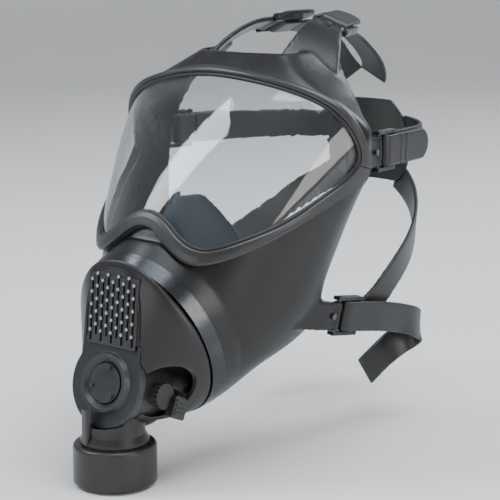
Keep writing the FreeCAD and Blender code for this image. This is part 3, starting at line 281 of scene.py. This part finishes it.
def steel_material(name, base, rough, brushed, tarnish, metal=1.0, bevel=0.0, uneven=0.12):
    """Metal with brush lines along one direction and cloudy tarnish.

    uneven is how far its roughness strays to each side.
    """
    material = new_material(name)
    shader = shade(material, base, rough, metal)
    graph = Graph(material)
    lines = graph.noise(400, 3, 0.6, brushed)
    cloud = graph.noise(45, 4, 0.6)
    colour = graph.blend(graph.ramp(cloud, 0, 1, 0.4, 0.7), base, tarnish)
    graph.link(colour, shader.inputs["Base Color"])
    graph.link(graph.ramp(lines, rough - uneven, rough + uneven, 0.3, 0.7), shader.inputs["Roughness"])
    bump = graph.bump(lines, shader, 0.25, 0.0001)
    if bevel:
        graph.rounded(bump, bevel)
    return material


def visor_material():
    """Clear polycarbonate with faint scratches and dust."""
    material = new_material("visor_clear")
    shader = shade(material, (0.93, 0.96, 0.98), 0.03)
    shader.inputs["IOR"].default_value = 1.45
    shader.inputs["Transmission Weight"].default_value = 1.0
    shader.inputs["Specular IOR Level"].default_value = 0.8
    graph = Graph(material)
    scratch_a = graph.noise(90, 6, 0.75, (1.0, 1.0, 0.05))
    scratch_b = graph.noise(75, 6, 0.75, (0.08, 1.0, 1.2))
    dust = graph.noise(1500, 2, 0.6)
    marks = graph.add_up(graph.ramp(scratch_a, 0, 1, 0.62, 0.72),
                         graph.ramp(scratch_b, 0, 1, 0.66, 0.76), 0.8)
    marks = graph.add_up(marks, graph.ramp(dust, 0, 1, 0.66, 0.78), 0.7)
    graph.link(graph.ramp(marks, 0.02, 0.45, 0.0, 1.4), shader.inputs["Roughness"])
    wave = graph.noise(9, 2, 0.5)
    graph.bump(wave, shader, 0.12, 0.002)
    return material


def film_material():
    material = new_material("diaphragm_film")
    shader = shade(material, (0.22, 0.22, 0.23), 0.35, metal=0.4)
    graph = Graph(material)
    rings = graph.noise(180, 3, 0.5)
    graph.link(graph.blend(rings, (0.15, 0.15, 0.16), (0.30, 0.30, 0.31)), shader.inputs["Base Color"])
    graph.bump(rings, shader, 0.3, 0.0003)
    return material


# ---------------------------------------------------------------- mesh helpers
def finish_mesh(name, mesh, smooth=True):
    bmesh.ops.recalc_face_normals(mesh, faces=mesh.faces)
    data = bpy.data.meshes.new(name)
    mesh.to_mesh(data)
    mesh.free()
    for polygon in data.polygons:
        polygon.use_smooth = smooth
    piece = bpy.data.objects.new(name, data)
    bpy.context.scene.collection.objects.link(piece)
    return piece


def apply_modifiers(piece):
    """Bakes the modifiers into the piece's own mesh."""
    bpy.context.view_layer.update()
    graph = bpy.context.evaluated_depsgraph_get()
    baked = bpy.data.meshes.new_from_object(piece.evaluated_get(graph))
    piece.modifiers.clear()
    piece.data = baked


def skin(name, rows, closed_row=True, capped=True):
    """A mesh through rows of points, all of one length."""
    mesh = bmesh.new()
    loops = [[mesh.verts.new(point) for point in row] for row in rows]
    count = len(loops[0])
    last = count if closed_row else count - 1
    for before, after in zip(loops, loops[1:]):
        for i in range(last):
            mesh.faces.new((before[i], before[(i + 1) % count], after[(i + 1) % count], after[i]))
    if capped:
        mesh.faces.new(loops[0][::-1])
        mesh.faces.new(loops[-1])
    return finish_mesh(name, mesh)


def copy_of(node, name):
    piece = bpy.data.objects.new(name, NODES[node].data.copy())
    bpy.context.scene.collection.objects.link(piece)
    for polygon in piece.data.polygons:
        polygon.use_smooth = True
    return piece


def settle(piece, material, body="root"):
    piece.data.materials.clear()
    piece.data.materials.append(material)
    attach(piece, body)


def moulded(node, name, voxel, rounds, factor=0.5):
    """A soft moulding: the node's shape with every edge rounded and its joins blended."""
    piece = copy_of(node, name)
    remesh = piece.modifiers.new("remesh", "REMESH")
    remesh.mode = "VOXEL"
    remesh.voxel_size = voxel
    remesh.use_smooth_shade = True
    smooth = piece.modifiers.new("smooth", "SMOOTH")
    smooth.factor = factor
    smooth.iterations = rounds
    apply_modifiers(piece)
    return piece


# ---------------------------------------------------------------- carried-over nodes
def paint_nodes(materials):
    """Finishes for the CAD nodes that stay as they are."""
    rules = [("visor_frame", "frame"), ("visor_seal", "soft"), ("visor", "visor"),
             ("buckle_frame", "buckle"), ("buckle_bar", "pins"), ("buckle_pins", "pins"),
             ("tab_studs", "pins"), ("clamp_band", "band"), ("clamp_", "pins"), ("frame_screws", "pins"),
             ("hose_gasket", "soft"), ("exhale_flap", "soft"), ("inhale_flap", "soft"),
             ("inner_flap", "soft"), ("speech_diaphragm", "film"), ("valve_cover_plate", "plate"),
             ("valve_cap", "plate"), ("speech_grille", "grille"), ("hose_nut", "nut")]
    for name, node in NODES.items():
        key = next((key for start, key in rules if name.startswith(start)), "housing")
        node.data.materials.clear()
        node.data.materials.append(materials[key])
        for polygon in node.data.polygons:
            polygon.material_index = 0


# ---------------------------------------------------------------- soft pieces
def make_facepiece(materials):
    piece = moulded("facepiece", "facepiece_rubber", 0.0011, 14)
    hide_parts("facepiece")
    settle(piece, materials["rubber"])


def make_inner_mask(materials):
    piece = moulded("inner_mask", "inner_mask_rubber", 0.0010, 8)
    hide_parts("inner_mask")
    settle(piece, materials["inner"])


BUCKLE_FACING = {"top": (0.368, 0.074, 0.927), "temple": (0.995, 0.10, 0.0), "neck": (0.988, -0.121, -0.101)}


def buckle_place(where, side):
    """The frame of one buckle's hinge, by its place and side."""
    outward = Vector(BUCKLE_FACING[where])
    if side == "right":
        outward.x = -outward.x
    return joint_place("tilt_%s_%s" % (where, side), outward)


def make_strap_tails(materials):
    for name in list(NODES):
        if name.startswith("strap_tail_"):
            piece = moulded(name, name.replace("strap_", "rubber_strap_"), 0.0007, 4)
            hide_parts(name)
            settle(piece, materials["strap"], "buckle_" + name[len("strap_tail_"):])


def make_straps(materials):
    """The straps over the head, moulded soft and given the strap finish."""
    for where in BUCKLE_FACING:
        for side in ("left", "right"):
            name = "strap_%s_%s" % (where, side)
            piece = moulded(name, "rubber_" + name, 0.0007, 4)
            piece.data.materials.clear()
            piece.data.materials.append(materials["strap"])
            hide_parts(name)
            place = buckle_place(where, side)
            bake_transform(piece)


def joint_place(name, outward):
    """The frame of a buckle's hinge: X on its pin, Z outward and Y along the strap."""
    joint = next(joint for joint in frame["joints"] if joint["name"] == name)
    x = Vector(joint["axis"]).normalized()
    z = Vector(outward)
    z = (z - x * z.dot(x)).normalized()
    y = z.cross(x)
    turn = Matrix((x, y, z)).transposed().to_4x4()
    return Matrix.Translation(joint["pos_m"]) @ turn


def make_ridge(name, place, along, up, half, radius, body, material):
    """Low rounded rib moulded across a strap."""
    rows = []
    for across in (-half, -half + 0.0006, half - 0.0006, half):
        size = radius * (0.45 if abs(across) == half else 1.0)
        row = []
        for i in range(9):
            turn = math.pi * i / 8
            row.append(place @ Vector((across, along + 1.5 * size * math.cos(turn),
                                       up + size * math.sin(turn) - 0.0003)))
        rows.append(row)
    settle(skin(name, rows), material, body)


def make_tail_ridges(materials):
    """Two ribs on each temple tail that stop it from slipping back."""
    for side in ("left", "right"):
        place = buckle_place("temple", side)
        for i, along in enumerate((0.0235, 0.0305)):
            make_ridge("tail_ridge_%s_%d" % (side, i + 1), place, along, 0.0045, 0.0094, 0.0008,
                       "buckle_temple_" + side, materials["strap"])


def make_back_pad(materials):
    piece = moulded("back_pad", "back_pad_rubber", 0.0009, 6)
    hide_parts("back_pad")
    settle(piece, materials["strap"])


def main():
    make_camera()
    make_floor()
    make_lights()
    materials = {
        "rubber": black_material("mask_rubber", (0.006, 0.006, 0.0065), (0.009, 0.0085, 0.0085), 0.28,
                                 1800, 0.0002, (0.02, 0.02, 0.021), spec=0.45),
        "strap": black_material("strap_rubber", (0.012, 0.012, 0.013), (0.02, 0.02, 0.02), 0.36,
                                2200, 0.0002, (0.05, 0.05, 0.05)),
        "inner": black_material("inner_rubber", (0.035, 0.045, 0.06), (0.05, 0.065, 0.08), 0.42,
                                1500, 0.0002, (0.1, 0.11, 0.13)),
        "frame": black_material("frame_plastic", (0.022, 0.022, 0.023), (0.034, 0.034, 0.035), 0.33,
                                2600, 0.0001, (0.09, 0.09, 0.09), bevel=0.0004),
        "housing": black_material("housing_plastic", (0.009, 0.0085, 0.0085),
                                  (0.016, 0.014, 0.014), 0.32, 2400, 0.0002, (0.06, 0.06, 0.06), bevel=0.0005),
        "plate": black_material("plate_plastic", (0.021, 0.023, 0.026), (0.032, 0.034, 0.037), 0.32,
                                2000, 0.0001, (0.10, 0.10, 0.10), bevel=0.0005),
        "grille": black_material("grille_plastic", (0.022, 0.022, 0.024), (0.034, 0.034, 0.037), 0.30,
                                 2000, 0.0001, (0.2, 0.2, 0.2), pip_highlight=True),
        "nut": black_material("nut_plastic", (0.012, 0.0105, 0.0105), (0.021, 0.018, 0.018), 0.30,
                              2200, 0.0002, (0.08, 0.08, 0.08), bevel=0.0006),
        "soft": black_material("soft_rubber", (0.010, 0.010, 0.011), (0.017, 0.017, 0.018), 0.45,
                               1500, 0.0002, (0.03, 0.03, 0.03)),
        "buckle": steel_material("buckle_metal", (0.035, 0.038, 0.043), 0.28, (1, 0.1, 1),
                                 (0.065, 0.068, 0.075), 0.7, bevel=0.0004),
        "pins": steel_material("dark_steel", (0.16, 0.16, 0.17), 0.30, (0.1, 1, 1), (0.09, 0.09, 0.10)),
        "band": steel_material("band_steel", (0.075, 0.079, 0.086), 0.25, (0.1, 1, 1),
                               (0.062, 0.064, 0.068), bevel=0.0004, uneven=0.04),
        "visor": visor_material(),
        "film": film_material(),
    }
    paint_nodes(materials)
    make_facepiece(materials)
    make_inner_mask(materials)
    make_strap_tails(materials)
    make_straps(materials)
    make_tail_ridges(materials)
    make_back_pad(materials)


main()
